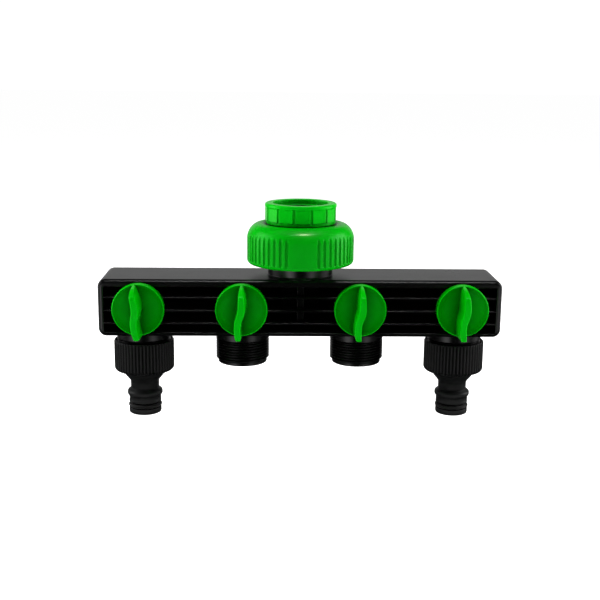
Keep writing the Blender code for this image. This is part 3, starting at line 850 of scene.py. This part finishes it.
def build_knob_blank():
    """A dished disc with a rounded rim, a short hub with a square socket, and the fin."""
    profile = np.vstack([spline(KNOB_FACE, 6), rounded(KNOB_RIM), [(0.0, KNOB_BACK)]])
    blank = lathe("knob_blank", profile, 144, facing=True)
    combine(blank, [build_fin()], "UNION")
    outline = rectangle((-2.55, 2.55), (-2.55, 2.55), 0.3, 2)
    socket = slab("socket", outline, [(0.0, -17.9), (0.0, -14.0)], "XZ")
    combine(blank, [socket], "DIFFERENCE")
    return blank


def build_valves():
    blank = build_knob_blank()
    for number, (x, lean) in enumerate(zip(OUTLET_X, KNOB_ANGLES), start=1):
        knob = bpy.data.objects.new(f"tap_knob_{number}", blank.data.copy())
        SCENE.collection.objects.link(knob)
        turn_about_y(knob, math.radians(lean), x=x, z=VALVE_Z)
        settle(
            knob, GREEN_KNOB, f"valve_{number}", f"knob_{number}", angle=38, weighted=True
        )
        bonnet = lathe(
            f"bonnet_ring_{number}", rounded(COLLAR, 3), 80, at=(x, 0, VALVE_Z), facing=True
        )
        settle(bonnet, BLACK, "manifold", f"valve_retainer_{number}")
    bpy.data.objects.remove(blank, do_unlink=True)


# ------------------------------------------------------------------ nozzles
# (radius, height)
NOZZLE_SHOULDER = [
    (14.82, -32.3), (14.78, -33.1), (14.5, -33.8), (13.9, -34.4), (12.9, -34.75), (11.7, -34.9),
    (10.95, -35.05), (10.45, -35.5), (10.1, -36.2), (9.55, -37.15), (8.75, -38.2), (7.9, -39.2),
    (7.25, -40.05),
]
NOZZLE_THREAD_RADIUS = 13.6
# down the spigot, up its bore and the threaded inside, and over the rim
NOZZLE_REST = [
    (7.08, -40.45, 0), (7.04, -43.6, 0.3), (6.8, -44.1, 0.3), (8.45, -45.1, 0.5),
    (8.75, -45.8, 0.4), (8.75, -47.0, 0.5), (7.98, -48.2, 0.3), (7.92, -49.9, 0.3),
    (8.0, -50.2, 0.15), (8.0, -51.15, 0.25), (6.3, -51.25, 0.25), (6.3, -54.0, 0.25),
    (8.05, -54.0, 0.25), (8.05, -56.85, 0.75), (5.0, -56.85, 0.35), (5.0, -35.0, 0.8),
    (7.4, -32.85, 0.2), (12.9, -32.85, 0.2), (NOZZLE_THREAD_RADIUS, -32.2, 0.1),
    (NOZZLE_THREAD_RADIUS, -20.0, 0.05), (13.9, -19.0, 0.15), (14.45, -19.0, 0.3),
    (14.8, -19.6, 0),
]


def nozzle_flutes(radius, height, around):
    """Fine grip flutes all round the nozzle's nut, running out on its lower rounding."""
    groove = (0.5 + 0.5 * np.cos(NOZZLE_FLUTES * around)) ** 1.6
    low = smoothstep(-35.0, -34.3, height)
    high = 1 - smoothstep(-19.7, -19.1, height)
    least_radius = np.where(height < -33.0, 12.4, 13.95)
    fluted = (radius > least_radius) & (height < -18.9) & (height > -35.0)
    return np.where(fluted, radius - 0.72 * groove * low * high, radius)


def build_nozzles():
    """The nozzles on the two outer outlets; returns them with their tip rings."""
    loop = dense(np.vstack([spline(NOZZLE_SHOULDER, 5), rounded(NOZZLE_REST, 4)]), 0.12, -34.0, -19.5)
    inner_thread = thread(
        NOZZLE_THREAD_RADIUS, 12.8, OUTLET_PITCH,
        low=-32.2, high=-20.0, crest_z=OUTLET_CREST, fade=0.8,
    )
    angles = np.arange(20) * (2 * math.pi / 20)
    ring_section = [(7.35 + 0.98 * math.cos(a), -52.8 + 0.92 * math.sin(a)) for a in angles]
    made = []
    for side, x in (("left", OUTLET_X[0]), ("right", OUTLET_X[3])):
        at = (x, 0, 0)
        body = f"connector_{side}"
        shapes = [nozzle_flutes, inner_thread]
        nozzle = lathe(f"hose_nozzle_{side}", loop, NOZZLE_FLUTES * 9, shapes, at=at)
        settle(nozzle, GREY, body, body, angle=42)
        seal = lathe(f"tip_ring_{side}", ring_section, 112, at=at)
        settle(seal, RUBBER, body, f"spigot_oring_{side}", angle=60)
        made += [nozzle, seal]
        node = f"connector_washer_{side}"
        washer(f"flat_washer_{side}", (7.6, 12.1), (-32.55, -30.55), 0.3, node, node, at)
    return made


# ------------------------------------------------------------------ CAD nodes that stay
def dress(node, finish):
    """A finish for a CAD node that is shown as it is."""
    material, slot_name = finish
    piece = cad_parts[node]
    if not piece.material_slots:
        piece.data.materials.append(material)
    for slot in piece.material_slots:
        slot.link = "OBJECT"
        slot.material = material


# ------------------------------------------------------------------ studio
WHITE = (1, 1, 1, 1)


def build_floor():
    """A pale floor, brighter to the camera than to the pieces."""
    half = 9
    z = CAD_BOX[0][2] - 0.0118  # low enough for the nozzles when they are unscrewed
    corners = [(-half, -half, z), (half, -half, z), (half, half, z), (-half, half, z)]
    mesh = bpy.data.meshes.new("floor")
    mesh.from_pydata(corners, [], [(0, 1, 2, 3)])
    floor = bpy.data.objects.new("floor", mesh)
    SCENE.collection.objects.link(floor)
    material = bpy.data.materials.new("pale_floor")
    graph = Graph(material)
    diffuse = graph.add("BsdfDiffuse", {"Color": (0.9, 0.9, 0.9, 1)})
    to_camera = graph.add("LightPath").outputs["Is Camera Ray"]
    level = graph.add("MapRange", {"Value": to_camera, "To Min": 0.22, "To Max": 0.875})
    glow = graph.add("Emission", {"Color": WHITE, "Strength": level})
    both = graph.add("AddShader", {0: diffuse, 1: glow})
    graph.add("OutputMaterial", {"Surface": both})
    mesh.materials.append(material)
    floor.visible_glossy = False


def build_world():
    """White to the camera, a glow at the back in reflections, dim light otherwise."""
    world = bpy.data.worlds.new("studio")
    SCENE.world = world
    graph = Graph(world)
    path = graph.add("LightPath").outputs
    seen = graph.add("Background", {"Color": WHITE, "Strength": 1.05})
    direction = graph.add("SeparateXYZ", {0: graph.add("TexCoord").outputs["Generated"]})
    backward = graph.ramp(direction.outputs["Y"], 0.70, 0.95, to_low=0.0, to_high=0.45)
    backward.interpolation_type = "SMOOTHSTEP"
    mirrored = graph.add("Background", {"Color": WHITE, "Strength": backward})
    soft = graph.add("Background", {"Color": WHITE, "Strength": 0.13})
    unseen = graph.add("MixShader", {0: path["Is Glossy Ray"], 1: soft, 2: mirrored})
    last = graph.add("MixShader", {0: path["Is Camera Ray"], 1: unseen, 2: seen})
    graph.add("OutputWorld", {"Surface": last})


# name, place, point it faces, size (all in metres, row frame), power in watts,
# and the only rays it serves
LAMPS = [
    ("overhead", (0.0, -0.10, 0.75), (0, -0.02, 0), (0.9, 0.5), 3.8, "diffuse"),
    ("front_fill", (0.05, -0.95, 0.45), (0, 0, 0), (0.7, 0.5), 0.13, "diffuse"),
    ("left_side", (-0.66, 0.02, 0.16), (0, -0.02, 0.0), (0.42, 0.6), 5.6, "diffuse"),
    ("right_side", (0.66, 0.02, 0.14), (0, -0.02, 0.0), (0.42, 0.6), 5.4, "diffuse"),
    ("left_box", (-0.66, 0.06, 0.16), (0, -0.02, 0.0), (0.42, 0.6), 1.15, "glossy"),
    ("right_box", (0.66, 0.06, 0.14), (0, -0.02, 0.0), (0.42, 0.6), 1.5, "glossy"),
    ("strip", (0.04, -0.24, 0.60), (0, -0.02, 0.02), (0.42, 0.022), 1.15, "glossy"),
    ("low_left", (-0.62, -0.55, -0.14), (0, -0.02, 0.0), (0.50, 0.30), 0.32, "glossy"),
    ("low_right", (0.62, -0.52, -0.14), (0, -0.02, 0.0), (0.45, 0.30), 0.20, "glossy"),
    ("nut_strip", (0.06, -0.24, 0.60), (0, -0.03, 0.03), (0.15, 0.018), 6.0, "glossy"),
    ("end_glow_left", (-0.48, -0.66, -0.15), (-0.09, -0.03, 0), (0.42, 0.30), 0.70, "glossy"),
    ("end_glow_right", (0.52, -0.66, -0.15), (0.09, -0.03, 0), (0.42, 0.30), 0.40, "glossy"),
    ("nozzle_glow", (0.0, -0.75, -0.20), (0, -0.02, -0.03), (1.3, 0.34), 0.9, "glossy"),
]
LAMP_COLOURS = {"nut_strip": (1.0, 0.31, 0.38)}  # the others are white


def build_lamps(receivers):
    """The lamps; receivers lists the only pieces lit, for lamps that don't light everything."""
    for name, place, target, size, power, rays in LAMPS:
        light = bpy.data.lights.new(name, "AREA")
        light.shape = "RECTANGLE"
        light.size, light.size_y = size
        light.energy = power
        light.color = LAMP_COLOURS.get(name, (1, 1, 1))
        lamp = bpy.data.objects.new(name, light)
        lamp.location = place
        lamp.rotation_mode = "QUATERNION"
        lamp.rotation_quaternion = (Vector(target) - Vector(place)).to_track_quat("-Z", "Y")
        lamp.visible_glossy = rays == "glossy"
        lamp.visible_diffuse = rays == "diffuse"
        lamp.visible_camera = False
        SCENE.collection.objects.link(lamp)
        if name in receivers:
            lit = bpy.data.collections.new("lit_by_" + name)
            for piece in receivers[name]:
                lit.objects.link(piece)
            lamp.light_linking.receiver_collection = lit


def build_camera():
    place = Vector((-13.057, -514.69 + AXIS_Y, 111.958)) * MM
    # down from level, from +y towards +x, and about the line of sight
    pitch, yaw, roll = math.radians(12.1846), math.radians(1.459), math.radians(0.5774)
    data = bpy.data.cameras.new("camera")
    data.sensor_width = 36.0
    data.lens = 63.64272
    data.clip_start, data.clip_end = 0.01, 50.0
    camera = bpy.data.objects.new("camera", data)
    level = math.cos(pitch)
    ahead = Vector((math.sin(yaw) * level, math.cos(yaw) * level, -math.sin(pitch)))
    right = Vector((math.cos(yaw), -math.sin(yaw), 0.0))
    down = ahead.cross(right)
    x_axis = right * math.cos(roll) - down * math.sin(roll)
    y_axis = -(right * math.sin(roll) + down * math.cos(roll))
    turned = Matrix((x_axis, y_axis, -ahead)).transposed().to_4x4()
    camera.matrix_world = Matrix.Translation(place) @ turned
    SCENE.collection.objects.link(camera)
    SCENE.camera = camera
    SCENE.view_settings.view_transform = "Standard"
    SCENE.view_settings.look = "None"


# ------------------------------------------------------------------ everything in order
bar = build_bar()
build_end_plugs()
nut = build_inlet()
build_valves()
nozzles = build_nozzles()
for number in range(1, 5):
    dress(f"valve_plug_{number}", ACETAL)
    dress(f"stem_oring_{number}", RUBBER)
    dress(f"port_seal_{number}", RUBBER)
build_floor()
build_world()
build_lamps(
    {
        "nut_strip": [nut],
        "end_glow_left": [bar],
        "end_glow_right": [bar],
        "nozzle_glow": nozzles,
    }
)
build_camera()
